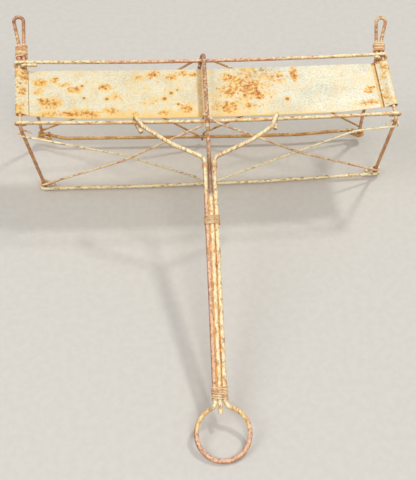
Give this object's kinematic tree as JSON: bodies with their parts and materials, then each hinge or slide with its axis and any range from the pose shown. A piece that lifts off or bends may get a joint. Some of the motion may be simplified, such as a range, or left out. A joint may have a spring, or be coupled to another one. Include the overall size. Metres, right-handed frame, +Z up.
{
  "type": "wire bread warmer",
  "caption": "Hand-made wire rack with a loose tinplate shelf, two wire fences that hold slices of bread on edge, and a long handle that ends in a hanging ring.",
  "frame": {"origin": "middle of the footprint, on the surface that the part stands on", "axes": "+X to the viewer's right along the rack, +Y away from the handle's ring, +Z up"},
  "size_m": [0.4014, 0.4444, 0.1479],
  "materials": {
    "rail_wire": "dull tinned wire with rust patches",
    "brace_wire": "dull tinned wire with rust patches",
    "handle_wire": "tinned wire worn to brown rust at the ring",
    "binding_wire": "thin rusted wire",
    "tinplate": "dull ivory tinplate speckled with rust"
  },
  "bodies": {
    "frame": {"left_end_frame": "rail_wire", "right_end_frame": "rail_wire", "near_top_rail": "rail_wire", "far_top_rail": "rail_wire", "near_bottom_rail": "rail_wire", "far_bottom_rail": "rail_wire", "near_v_brace": "brace_wire", "near_peak_brace": "brace_wire", "far_v_brace": "brace_wire", "far_peak_brace": "brace_wire", "handle_loop": "handle_wire", "centre_wire": "handle_wire", "ring_binding": "binding_wire", "fork_binding": "binding_wire", "crotch_lashing": "binding_wire", "left_loop_binding": "binding_wire", "right_loop_binding": "binding_wire"},
    "shelf": {"tin_shelf": "tinplate"}
  },
  "joints": [
    {"name": "shelf_slide", "type": "slide", "parent": "frame", "child": "shelf", "axis": [0, 0.9952, 0.0976], "range_m": [-0.005, 0.0005]}
  ]
}
